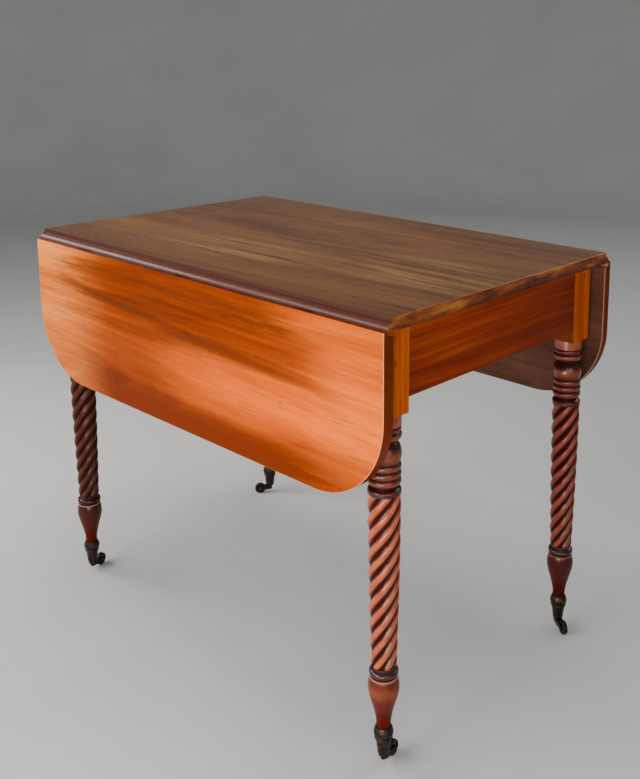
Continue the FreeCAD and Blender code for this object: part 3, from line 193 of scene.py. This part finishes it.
class Graph:
    """Shader nodes of one material, with a short call for each kind of node that the finishes use."""

    def __init__(self, name):
        self.material = bpy.data.materials.new(name)
        self.material.use_nodes = True
        self.nodes = self.material.node_tree.nodes
        self.links = self.material.node_tree.links
        self.shader = self.nodes["Principled BSDF"]
        coordinates = self.nodes.new("ShaderNodeTexCoord")
        self.place = coordinates.outputs["Object"]
        self.facing = coordinates.outputs["Normal"]

    def feed(self, socket, value):
        """Link a socket to another, or set its value."""
        if isinstance(value, bpy.types.NodeSocket):
            self.links.new(value, socket)
        else:
            socket.default_value = value

    def node(self, kind, inputs, output=0, **settings):
        """Add a node, set it up, and give back one of its outputs."""
        made = self.nodes.new(kind)
        for name, value in settings.items():
            setattr(made, name, value)
        for key, value in inputs.items():
            self.feed(made.inputs[key], value)
        return made.outputs[output]

    def stretched(self, scale, shift=(0, 0, 0)):
        """The piece's own coordinates, scaled along each axis."""
        return self.node("ShaderNodeMapping", {"Vector": self.place, "Scale": scale, "Location": shift})

    def turned(self, place, turn):
        """The piece's own coordinates, about another place and axes."""
        inputs = {"Vector": self.place, "Location": place, "Rotation": turn}
        return self.node("ShaderNodeMapping", inputs, vector_type="TEXTURE")

    def noise(self, vector, scale=1.0, detail=2.0, roughness=0.5, distortion=0.0):
        """Smooth noise, about 0.5 on average."""
        inputs = {
            "Vector": vector,
            "Scale": scale,
            "Detail": detail,
            "Roughness": roughness,
            "Distortion": distortion,
        }
        return self.node("ShaderNodeTexNoise", inputs)

    def bands(self, value, detail=4.0, roughness=0.6):
        """Smooth noise along one value."""
        inputs = {"W": value, "Scale": 1.0, "Detail": detail, "Roughness": roughness}
        return self.node("ShaderNodeTexNoise", inputs, noise_dimensions="1D")

    def cells(self, vector, scale):
        """Distance to the nearest of many scattered points."""
        return self.node("ShaderNodeTexVoronoi", {"Vector": vector, "Scale": scale}, "Distance")

    def math(self, operation, first, second=0.0):
        """One operation on values."""
        return self.node("ShaderNodeMath", {0: first, 1: second}, operation=operation)

    def times(self, *values):
        """Product of values."""
        product = values[0]
        for value in values[1:]:
            product = self.math("MULTIPLY", product, value)
        return product

    def most(self, *values):
        """Highest of values."""
        highest = values[0]
        for value in values[1:]:
            highest = self.math("MAXIMUM", highest, value)
        return highest

    def total(self, *weighted):
        """Sum of values, each given with its weight."""
        added = None
        for value, weight in weighted:
            share = self.math("MULTIPLY", value, weight)
            added = share if added is None else self.math("ADD", added, share)
        return added

    def blend(self, *weighted):
        """Mean of values, each given with its weight."""
        return self.math("DIVIDE", self.total(*weighted), sum(weight for _, weight in weighted))

    def span(self, value, low, high, to_low=0.0, to_high=1.0):
        """Map a range of values to another, smoothly and without going past it."""
        inputs = {"Value": value, "From Min": low, "From Max": high, "To Min": to_low, "To Max": to_high}
        return self.node("ShaderNodeMapRange", inputs, interpolation_type="SMOOTHSTEP")

    def between(self, value, rise, fall):
        """One between two slopes, each given by where it is nothing and where it is one."""
        return self.times(self.span(value, *rise), self.span(value, *fall))

    def hill(self, value, centre, reach):
        """One at a centre, falling smoothly to nothing at a reach to either side."""
        off = self.math("ABSOLUTE", self.math("SUBTRACT", value, centre))
        return self.span(off, reach, 0.0)

    def axes(self, vector):
        """The three parts of a vector."""
        parts = self.nodes.new("ShaderNodeSeparateXYZ")
        self.links.new(vector, parts.inputs[0])
        return parts.outputs

    def length(self, *parts):
        """Length of a vector given by its parts."""
        total = None
        for part in parts:
            square = self.math("MULTIPLY", part, part)
            total = square if total is None else self.math("ADD", total, square)
        return self.math("SQRT", total)

    def toward(self, axis):
        """How far the surface faces along an axis, either way."""
        return self.math("ABSOLUTE", self.axes(self.facing)["XYZ".index(axis)])

    def outward(self, y):
        """How far the surface faces away from the long middle line of the table."""
        return self.math("MULTIPLY", self.axes(self.facing)[1], self.math("SIGN", y))

    def ramp(self, value, stops):
        """Colour along a list of positions and colours."""
        made = self.nodes.new("ShaderNodeValToRGB")
        self.links.new(value, made.inputs[0])
        elements = made.color_ramp.elements
        while len(elements) < len(stops):
            elements.new(1.0)
        for element, (position, colour) in zip(elements, stops):
            element.position = position
            element.color = (*colour, 1.0)
        return made.outputs[0]

    def mix(self, factor, first, second):
        """Blend two colours."""
        made = self.nodes.new("ShaderNodeMix")
        made.data_type = "RGBA"
        for index, value in ((0, factor), (6, first), (7, second)):
            if isinstance(value, tuple):
                value = (*value, 1.0)
            self.feed(made.inputs[index], value)
        return made.outputs[2]

    def bump(self, height, distance, strength):
        """Bend the shading by a height, in metres."""
        normal = self.node("ShaderNodeBump", {"Height": height, "Distance": distance, "Strength": strength})
        self.links.new(normal, self.shader.inputs["Normal"])

    def finish(self, **sockets):
        """Feed the shader's sockets, named with underscores for spaces."""
        for name, value in sockets.items():
            self.feed(self.shader.inputs[name.replace("_", " ")], value)
        return self.material


# Wood


def grain_scale(grain, along, across):
    """Scales that draw a pattern out along the grain."""
    return tuple(along if axis == grain else across for axis in "XYZ")


class Timber:
    """Figure of one board: growth rings about the heart, and streaks, lines and pores along the grain."""

    def __init__(self, graph, grain, heart, lean, shift, ring=RING_WIDTH):
        self.graph = graph
        around = graph.axes(graph.turned(heart, lean))
        cross = [around[i] for i, axis in enumerate("XYZ") if axis != grain]
        wander = graph.noise(graph.stretched(grain_scale(grain, 2.2, 9), shift), 1, 3, 0.55)
        radius = graph.math("ADD", graph.length(*cross), graph.math("MULTIPLY", wander, RING_WANDER))
        self.rings = graph.bands(graph.math("DIVIDE", radius, ring))
        self.broad = graph.noise(graph.stretched(grain_scale(grain, 1.3, 8), shift), 1, 3, 0.55, 0.5)
        self.streaks = graph.noise(graph.stretched(grain_scale(grain, 3.0, 60), shift), 1, 4, 0.6, 0.3)
        self.lines = graph.noise(graph.stretched(grain_scale(grain, 9, 330), shift), 1, 3, 0.6)
        pores = graph.noise(graph.stretched(grain_scale(grain, 70, 1900), shift), 1, 1, 0.5)
        self.pores = graph.span(pores, 0.60, 0.74)

    def colour(self, dark, middle, light, tone=0.0):
        """Colour of the wood from the layers of its figure, made paler or darker by a tone."""
        graph = self.graph
        level = graph.blend((self.rings, 0.22), (self.broad, 0.42), (self.streaks, 0.28), (self.lines, 0.10))
        level = graph.math("ADD", level, tone)
        colour = graph.ramp(level, ((0.36, dark), (0.50, middle), (0.64, light)))
        shade = graph.math("MULTIPLY", self.pores, 0.45)
        return graph.mix(shade, colour, tuple(part * 0.35 for part in dark))


def arris_wear_and_highlight(graph, colour, axis, wear_and_highlight, amount):
    """Lighten the rounded edges of a flat board, where its face turns away from one axis: wear, with a
    painted highlight.
    """
    turn = graph.toward(axis)
    inner = graph.span(turn, 0.10, 0.45)
    outer = graph.span(turn, 0.985, 0.86)
    patchy = graph.span(graph.noise(graph.place, 60, 3, 0.6), 0.25, 0.6, 0.35, 1.0)
    return graph.mix(graph.times(inner, outer, patchy, amount), colour, wear_and_highlight)


def specks(graph, colour, dark, scale, size):
    """Scatter small dark dents and spots."""
    spots = graph.span(graph.cells(graph.place, scale), size, size * 0.4)
    some = graph.span(graph.noise(graph.place, scale * 0.35, 1), 0.52, 0.62)
    return graph.mix(graph.math("MULTIPLY", spots, some), colour, dark)


def polish(timber, colour, roughness, coat, gloss, coat_roughness=0.12, dull=0.0):
    """French polish: soft sheen, with the pores just showing in it, and rougher where it is dull."""
    graph = timber.graph
    cloud = graph.noise(graph.place, 9, 3, 0.55)
    rough = graph.span(cloud, 0.2, 0.8, roughness * 0.8, roughness * 1.25)
    rough = graph.math("ADD", rough, graph.math("MULTIPLY", dull, 0.14))
    height = graph.math("SUBTRACT", graph.math("MULTIPLY", timber.lines, 0.3), timber.pores)
    graph.bump(height, POLISHED_PORE_DEPTH, 0.5)
    return graph.finish(
        Base_Color=colour,
        Roughness=rough,
        Specular_IOR_Level=gloss,
        Coat_Weight=coat,
        Coat_Roughness=coat_roughness,
    )


def leaf_wood():
    """Leaves: amber mahogany with brown streaks, pale ends and middle of painted light and sheen, rubbed
    arrises with painted highlights, and dark insides of painted shade over duller wood.
    """
    graph = Graph("leaf_mahogany")
    lean = (0, math.radians(-2), math.radians(4))
    timber = Timber(graph, "X", heart=(0.05, -0.20, 0.50), lean=lean, shift=(0.0, 0.0, 3.1))
    x, y, z = graph.axes(graph.place)

    # Darker upper middle and lower edge
    upper_dark = graph.times(
        graph.between(x, UPPER_DARK_LEFT_X, UPPER_DARK_RIGHT_X), graph.span(z, *UPPER_DARK_Z)
    )
    lower_dark = graph.times(graph.span(x, *LOWER_DARK_X), graph.span(z, *LOWER_DARK_Z))
    tone = graph.total((upper_dark, UPPER_DARK_TONE), (lower_dark, LOWER_DARK_TONE))
    colour = timber.colour(*LEAF_AMBER, tone)

    # Pale left end, pale band along the middle and pale right end: painted light and sheen
    lit_end = timber.colour(*LEAF_LIT_END)
    lit_middle = timber.colour(*LEAF_LIT_MIDDLE)
    pale_end = graph.times(graph.span(x, *PALE_END_X), graph.span(timber.broad, 0.25, 0.6, 0.6, 1.0))
    band = graph.times(graph.span(x, *BAND_X), graph.hill(z, *BAND_Z))
    right_end = graph.times(graph.span(x, *RIGHT_END_X), graph.hill(z, *RIGHT_END_Z))
    upper_right = graph.times(graph.span(x, *UPPER_RIGHT_X), graph.span(z, *UPPER_RIGHT_Z), 0.5)
    pale_middle = graph.most(band, right_end, upper_right)
    pale_middle = graph.times(pale_middle, graph.span(timber.broad, 0.30, 0.62, 0.5, 1.0))
    colour = graph.mix(pale_end, colour, lit_end)
    colour = graph.mix(pale_middle, colour, lit_middle)
    colour = graph.mix(graph.times(right_end, 0.12), colour, lit_end)

    # Long brown streaks in the upper half, fine lines and specks
    smoke = graph.noise(graph.stretched((2.6, 6, 34), (0.0, 0.0, 1.3)), 1, 5, 0.62, 0.5)
    in_streaks = graph.times(graph.between(x, STREAKS_LEFT_X, STREAKS_RIGHT_X), graph.hill(z, *STREAKS_Z))
    streaks = graph.times(graph.span(smoke, 0.42, 0.62), graph.span(in_streaks, 0.0, 1.0, 0.15, 0.90))
    colour = graph.mix(streaks, colour, LEAF_STREAK)
    fine_lines = graph.times(graph.span(timber.lines, 0.54, 0.70), 0.40)
    colour = graph.mix(fine_lines, colour, LEAF_LINE)
    colour = specks(graph, colour, LEAF_SPECK, 45, 0.10)

    # Dark edges, painted shade on the insides, rubbed arrises and the rubbed inner edge of the rear leaf,
    # these edges with painted highlights
    edge = graph.span(graph.toward("Y"), 0.5, 0.1)
    colour = graph.mix(graph.math("MULTIPLY", edge, 0.9), colour, LEAF_EDGE)
    # Painted shade from under the table on the insides, over duller wood
    inside_shaded = timber.colour(*LEAF_INSIDE_SHADED)
    colour = graph.mix(graph.span(graph.outward(y), -0.2, -0.8), colour, inside_shaded)
    colour = arris_wear_and_highlight(graph, colour, "Y", LEAF_ARRIS, 0.8)
    # Rubbed inner edge of the rear leaf, with a painted highlight
    rubbed = graph.times(edge, graph.span(y, *RUBBED_EDGE_Y), graph.span(y, 0.0, MIDDLE))
    colour = graph.mix(graph.times(rubbed, 0.85), colour, LEAF_RUBBED_AND_LIT)
    return polish(timber, colour, roughness=0.28, coat=0.0, gloss=0.05)


def top_wood():
    """Top: brown mahogany with faded tan patches, darker mouldings and mottled end grain."""
    graph = Graph("top_mahogany")
    lean = (0, math.radians(2), math.radians(3))
    timber = Timber(graph, "X", heart=(0.0, 0.08, 0.62), lean=lean, shift=(1.7, 0.4, 0.0))
    x, y, z = graph.axes(graph.place)
    tone = graph.span(y, *TOP_REAR_Y, 0.0, TOP_REAR_TONE)
    colour = timber.colour(*TOP_BROWN, tone)
    for patch_x, patch_y, reach_x, reach_y in FADED_PATCHES:
        far_x = graph.math("DIVIDE", graph.math("SUBTRACT", x, patch_x), reach_x)
        far_y = graph.math("DIVIDE", graph.math("SUBTRACT", y, patch_y), reach_y)
        patch = graph.span(graph.length(far_x, far_y), 1.0, 0.2)
        fade = graph.times(patch, graph.span(timber.streaks, 0.36, 0.66), 0.65)
        colour = graph.mix(fade, colour, TOP_FADED)

    # Ends, darker along their lower edge
    end_grain = graph.noise(graph.stretched((40, 14, 60)), 1, 4, 0.6)
    end = graph.ramp(end_grain, tuple(zip((0.34, 0.50, 0.68), TOP_END_GRAIN)))
    end_bottom_dark = graph.times(graph.span(z, *END_BOTTOM_DARK_Z), graph.span(y, *END_BOTTOM_DARK_Y, 0.4, 0.9))
    end = graph.mix(end_bottom_dark, end, TOP_END_BOTTOM_DARK)
    on_end = graph.span(graph.toward("X"), 0.3, 0.7)
    colour = graph.mix(on_end, colour, end)

    # Mouldings along the long edges
    side = graph.math("ABSOLUTE", y)
    quirk = graph.span(side, *QUIRK_Y)
    ovolo = graph.span(side, *OVOLO_Y)
    along = graph.math("SUBTRACT", 1.0, on_end)
    colour = graph.mix(graph.times(quirk, along, 0.9), colour, TOP_QUIRK)
    colour = graph.mix(graph.times(ovolo, along, 0.8), colour, TOP_OVOLO)
    # Rubbed rounded ends of the top, with a painted highlight
    colour = arris_wear_and_highlight(graph, colour, "X", TOP_ARRIS, 0.5)
    return polish(timber, colour, roughness=0.27, coat=0.08, gloss=0.25, dull=graph.times(quirk, along))


def apron_wood():
    """End aprons: red-brown mahogany, grain across the table, darker toward the rear as painted shade."""
    graph = Graph("apron_mahogany")
    lean = (math.radians(0.8), 0, math.radians(1))
    timber = Timber(graph, "Y", heart=(0.30, 0.0, 0.52), lean=lean, shift=(0.0, 5.0, 1.0))
    y = graph.axes(graph.place)[1]
    # Painted shade toward the rear
    tone = graph.span(y, *APRON_REAR_Y, 0.0, APRON_REAR_SHADE_TONE)
    colour = timber.colour(*APRON_RED_BROWN, tone)
    colour = specks(graph, colour, APRON_SPECK, 40, 0.08)
    return polish(timber, colour, roughness=0.32, coat=0.0, gloss=0.10)


def leg_wood():
    """Legs: orange posts above dark red turnings, with wear and painted highlights on the crests, painted
    reflection on the vase shoulders, dirt and painted shade in the grooves, and painted shade on the vases,
    the post insides and the rear and left legs.
    """
    graph = Graph("leg_mahogany")
    lean = (math.radians(2), 0, 0)
    timber = Timber(graph, "Z", heart=(0.33, 0.16, 0.0), lean=lean, shift=(2.0, 0.0, 0.0))
    post = timber.colour(*POST_ORANGE)
    turning = timber.colour(*TURNING_RED)
    x, y, height = graph.axes(graph.place)
    # Painted shade on the post faces that look in under the table
    post = graph.mix(graph.span(graph.outward(y), -0.6, -0.9, 0.0, 0.75), post, POST_INNER_SHADE)
    off_x = graph.math("SUBTRACT", graph.math("ABSOLUTE", x), LEG_X)
    off_y = graph.math("SUBTRACT", graph.math("ABSOLUTE", y), LEG_Y)
    radius = graph.length(off_x, off_y)
    rear = graph.span(y, -MIDDLE, MIDDLE)
    left = graph.span(x, MIDDLE, -MIDDLE)

    # Strands and hollows of the twist, by how far they lie below its swelling crest
    above_foot = graph.math("SUBTRACT", height, TWIST_BOTTOM_Z)
    climb = graph.math("DIVIDE", above_foot, TWIST_TOP_Z - TWIST_BOTTOM_Z)
    swell = graph.math("SINE", graph.math("MULTIPLY", climb, math.pi / 2))
    gain = graph.math("MULTIPLY", swell, TWIST_TOP_RADIUS - TWIST_BOTTOM_RADIUS)
    crest = graph.math("ADD", gain, TWIST_BOTTOM_RADIUS)
    share = graph.math("SUBTRACT", 1.0, graph.math("DIVIDE", radius, crest))
    drop = graph.math("MULTIPLY", share, TWIST_TOP_RADIUS)
    hollow = graph.span(drop, STRAND_EDGE_DROP, HOLLOW_DROP)
    strand = graph.span(drop, STRAND_EDGE_DROP, STRAND_EDGE_DROP * 0.2)

    # Parts of the turning, from the collar down to the foot
    in_collar = graph.span(height, COLLAR_BOTTOM_Z, COLLAR_BOTTOM_Z + 1 * MM)
    in_beads = graph.between(
        height, (CAP_LIP_TOP_Z, CAP_LIP_TOP_Z + 2 * MM), (COLLAR_BOTTOM_Z, COLLAR_BOTTOM_Z - 1 * MM)
    )
    groove = graph.span(radius, GROOVE_EDGE_RADIUS, GROOVE_RADIUS)
    bead = graph.span(radius, GROOVE_EDGE_RADIUS, BEAD_CREST_RADIUS)
    in_lip = graph.between(
        height, (TWIST_TOP_Z - 1 * MM, TWIST_TOP_Z), (CAP_LIP_TOP_Z + 1 * MM, CAP_LIP_TOP_Z)
    )
    in_twist = graph.between(
        height, (TWIST_BOTTOM_Z, TWIST_BOTTOM_Z + 2 * MM), (TWIST_TOP_Z, TWIST_TOP_Z - 2 * MM)
    )
    in_ring = graph.between(
        height,
        (FOOT_RING_BOTTOM_Z, FOOT_RING_BOTTOM_Z + 1 * MM),
        (TWIST_BOTTOM_Z + 1 * MM, TWIST_BOTTOM_Z - 1 * MM),
    )
    in_fillet = graph.between(
        height,
        (FOOT_FILLET_BOTTOM_Z - 1 * MM, FOOT_FILLET_BOTTOM_Z),
        (FOOT_RING_BOTTOM_Z, FOOT_RING_BOTTOM_Z - 1 * MM),
    )
    in_foot = graph.span(height, FOOT_FILLET_BOTTOM_Z, FOOT_FILLET_BOTTOM_Z - 4 * MM)
    in_vase = graph.span(height, FOOT_FILLET_BOTTOM_Z, ANKLE_Z)
    shoulder = graph.hill(height, VASE_SHOULDER_Z, VASE_SHOULDER_REACH)

    # Coats of colour, each over the one before
    wear_and_highlight = graph.span(graph.noise(graph.place, 55, 3, 0.6), 0.35, 0.60, 0.55, 0.95)
    layers = (
        # Painted shade over the beads
        (graph.times(in_beads, 0.5), BEAD_SHADE),
        # Wear and painted light on the crests of the strands
        (graph.times(strand, in_twist, wear_and_highlight), STRAND_WEAR_AND_LIGHT),
        # Painted reflection on the vase shoulders, stronger on the front legs
        (graph.times(shoulder, wear_and_highlight, graph.span(y, -MIDDLE, MIDDLE, 0.5, 0.2)), SHOULDER_REFLECTION),
        # Painted shade on the rear legs
        (graph.times(rear, 0.55), REAR_LEG_SHADE),
        # Wear and painted highlights on the crests of the beads
        (graph.times(bead, in_beads, wear_and_highlight, 0.78), BEAD_WEAR_AND_HIGHLIGHT),
        # Painted highlight on the collars
        (graph.times(in_collar, wear_and_highlight, 0.75), COLLAR_HIGHLIGHT),
        # Painted shade on the left legs
        (graph.times(left, 0.88), LEFT_LEG_SHADE),
        # Painted shade on the vases, darker toward the ankle
        (graph.times(in_vase, 0.9), VASE_LOWER_SHADE),
        # Painted shade on the vases of the rear legs
        (graph.times(in_foot, rear, 0.6), REAR_VASE_SHADE),
        # Dirt and painted shade in the twist hollows, the bead grooves and on the cap lip
        (graph.times(hollow, in_twist, 0.92), GRIME_AND_SHADE),
        (graph.times(groove, in_beads, 0.85), GRIME_AND_SHADE),
        (graph.times(in_lip, 0.9), GRIME_AND_SHADE),
        (graph.times(in_ring, 0.9), RING_BLACK),
        # Painted highlight on the fillet under the foot ring, stronger on the front legs
        (graph.times(in_fillet, graph.span(y, -MIDDLE, MIDDLE, 0.5, 0.18)), FILLET_HIGHLIGHT),
    )
    for amount, tint in layers:
        turning = graph.mix(amount, turning, tint)
    upper = graph.span(height, POST_BOTTOM_Z - 1 * MM, POST_BOTTOM_Z + 1 * MM)
    colour = graph.mix(upper, turning, post)

    # Less polish on the posts, in the hollows, on the vases and on the left legs
    dull = graph.most(
        upper,
        graph.times(hollow, in_twist),
        graph.times(in_foot, 0.55),
        graph.times(in_vase, 0.9),
        graph.span(x, MIDDLE, -MIDDLE, 0.0, 0.55),
    )
    coat = graph.span(dull, 0.0, 1.0, 0.8, 0.0)
    return polish(timber, colour, roughness=0.36, coat=coat, gloss=0.06, coat_roughness=0.20)


def bare_wood(name, dark, middle, light):
    """Unpolished wood of the hidden frame, darkened with age."""
    graph = Graph(name)
    lean = (0, math.radians(3), math.radians(2))
    timber = Timber(graph, "X", heart=(0.1, 0.05, 0.60), lean=lean, shift=(4.0, 4.0, 0.0))
    colour = timber.colour(dark, middle, light)
    grime = graph.span(graph.noise(graph.place, 7, 4, 0.6), 0.45, 0.75)
    colour = graph.mix(graph.math("MULTIPLY", grime, 0.45), colour, tuple(part * 0.4 for part in dark))
    height = graph.math("SUBTRACT", timber.lines, timber.pores)
    graph.bump(height, BARE_PORE_DEPTH, 0.6)
    return graph.finish(Base_Color=colour, Roughness=0.72, Specular_IOR_Level=0.3)


def peg_wood():
    """Pegs: dark end grain, polished over with the post."""
    graph = Graph("peg_wood")
    shift = (0.0, 1.0, 2.0)
    timber = Timber(graph, "X", heart=(0.0, 0.2, 0.68), lean=(0, 0, 0), shift=shift, ring=PEG_RING_WIDTH)
    colour = timber.colour(*PEG_BROWN)
    return polish(timber, colour, roughness=0.32, coat=0.0, gloss=0.25)


# Metal


def caster_brass():
    """Old cast brass, nearly black with a brown patina, rubbed brighter in patches."""
    graph = Graph("caster_brass")
    cloud = graph.noise(graph.place, 120, 4, 0.6)
    colour = graph.ramp(cloud, tuple(zip((0.30, 0.52, 0.72), BRASS)))
    height = graph.axes(graph.place)[2]
    # Darker toward the bottom
    colour = graph.mix(graph.span(height, BRASS_DARK_TOP_Z, 0.0, 0.0, 0.9), colour, BRASS_BLACK)
    rough = graph.span(cloud, 0.3, 0.7, 0.50, 0.30)
    graph.bump(graph.noise(graph.place, 900, 3, 0.6), BRASS_GRAIN_DEPTH, 0.5)
    return graph.finish(Base_Color=colour, Metallic=0.6, Roughness=rough)


def old_iron(name, dark, light, rough):
    """Browned iron with a grainy, slightly rusted skin."""
    graph = Graph(name)
    cloud = graph.noise(graph.place, 160, 5, 0.65)
    colour = graph.ramp(cloud, ((0.35, dark), (0.65, light)))
    graph.bump(graph.noise(graph.place, 1400, 3, 0.6), IRON_GRAIN_DEPTH, 0.6)
    return graph.finish(Base_Color=colour, Metallic=0.75, Roughness=rough)


def dress(materials):
    """Give every CAD node the finish of its material slot."""
    for part in frame["record"]["subparts"]:
        node = frame["nodes"][part["node"]]
        node.data.materials.clear()
        node.data.materials.append(materials[part["material_slot"]])


# Floor, light and camera


def studio():
    """Pale floor that curves up into a wall all round."""
    graph = Graph("studio_floor")
    cloud = graph.noise(graph.place, 1.5, 4, 0.6)
    colour = graph.ramp(cloud, FLOOR_TONES)
    graph.finish(Base_Color=colour, Roughness=0.85, Specular_IOR_Level=0.1)
    outline = []
    for step in range(COVE_STEPS + 1):
        turn = math.pi / 2 * step / COVE_STEPS
        outline.append((FLOOR_REACH + COVE_RADIUS * math.sin(turn), COVE_RADIUS * (1 - math.cos(turn))))
    outline.append((FLOOR_REACH + COVE_RADIUS, WALL_TOP))
    points = [(0.0, 0.0, 0.0)]
    for reach, rise in outline:
        for side in range(FLOOR_SIDES):
            turn = 2 * math.pi * side / FLOOR_SIDES
            points.append((reach * math.cos(turn), reach * math.sin(turn), rise))
    faces = [(0, 1 + side, 1 + (side + 1) % FLOOR_SIDES) for side in range(FLOOR_SIDES)]
    for row in range(len(outline) - 1):
        near = 1 + row * FLOOR_SIDES
        far = near + FLOOR_SIDES
        for side in range(FLOOR_SIDES):
            following = (side + 1) % FLOOR_SIDES
            faces.append((near + side, far + side, far + following, near + following))
    mesh = bpy.data.meshes.new("studio_floor")
    mesh.from_pydata(points, [], faces)
    mesh.shade_smooth()
    mesh.materials.append(graph.material)
    sweep = bpy.data.objects.new("studio_floor", mesh)
    bpy.context.scene.collection.objects.link(sweep)


def area_light(name, place, target, width, height, power, colour):
    """Soft rectangular light aimed at a point."""
    lamp = bpy.data.lights.new(name, "AREA")
    lamp.shape = "RECTANGLE"
    lamp.size = width
    lamp.size_y = height
    lamp.energy = power
    lamp.color = colour
    light = bpy.data.objects.new(name, lamp)
    light.visible_camera = False
    light.location = place
    light.rotation_euler = (Vector(target) - Vector(place)).to_track_quat("-Z", "Y").to_euler()
    bpy.context.scene.collection.objects.link(light)


def lights():
    """Soft light: wide in front, at the right and above, small at the left and low in front, weak behind."""
    for light in LIGHTS:
        area_light(*light)
    world = bpy.data.worlds.new("studio")
    world.use_nodes = True
    background = world.node_tree.nodes["Background"]
    background.inputs["Color"].default_value = SKY_COLOUR
    background.inputs["Strength"].default_value = SKY_STRENGTH
    bpy.context.scene.world = world


def camera():
    """Camera at the photograph's place, angle and framing."""
    back = Vector(
        (
            math.sin(CAMERA_AZIMUTH) * math.cos(CAMERA_PITCH),
            -math.cos(CAMERA_AZIMUTH) * math.cos(CAMERA_PITCH),
            math.sin(CAMERA_PITCH),
        )
    )
    level = Vector((math.cos(CAMERA_AZIMUTH), math.sin(CAMERA_AZIMUTH), 0.0))
    upright = back.cross(level)
    right = math.cos(CAMERA_ROLL) * level + math.sin(CAMERA_ROLL) * upright
    up = back.cross(right)
    lens = bpy.data.cameras.new("photo_camera")
    lens.sensor_width = SENSOR_WIDTH
    lens.lens = FOCAL_PIXELS * SENSOR_WIDTH / PHOTO_HEIGHT
    lens.shift_x = (PHOTO_WIDTH / 2 - OPTICAL_CENTRE[0]) / PHOTO_HEIGHT
    lens.shift_y = (OPTICAL_CENTRE[1] - PHOTO_HEIGHT / 2) / PHOTO_HEIGHT
    view = bpy.data.objects.new("photo_camera", lens)
    view.matrix_world = Matrix.Translation(CAMERA_PLACE) @ Matrix((right, up, back)).transposed().to_4x4()
    bpy.context.scene.collection.objects.link(view)
    bpy.context.scene.camera = view


dress(
    {
        "top_mahogany": top_wood(),
        "leaf_mahogany": leaf_wood(),
        "leg_mahogany": leg_wood(),
        "apron_mahogany": apron_wood(),
        "secondary_wood": bare_wood("secondary_wood", *SECONDARY_WOOD),
        "fly_wood": bare_wood("fly_wood", *FLY_WOOD),
        "peg_wood": peg_wood(),
        "caster_brass": caster_brass(),
        "hinge_iron": old_iron("hinge_iron", *HINGE_IRON, rough=0.55),
        "forged_iron": old_iron("forged_iron", *FORGED_IRON, rough=0.5),
        "screw_iron": old_iron("screw_iron", *SCREW_IRON, rough=0.45),
    }
)
studio()
lights()
camera()
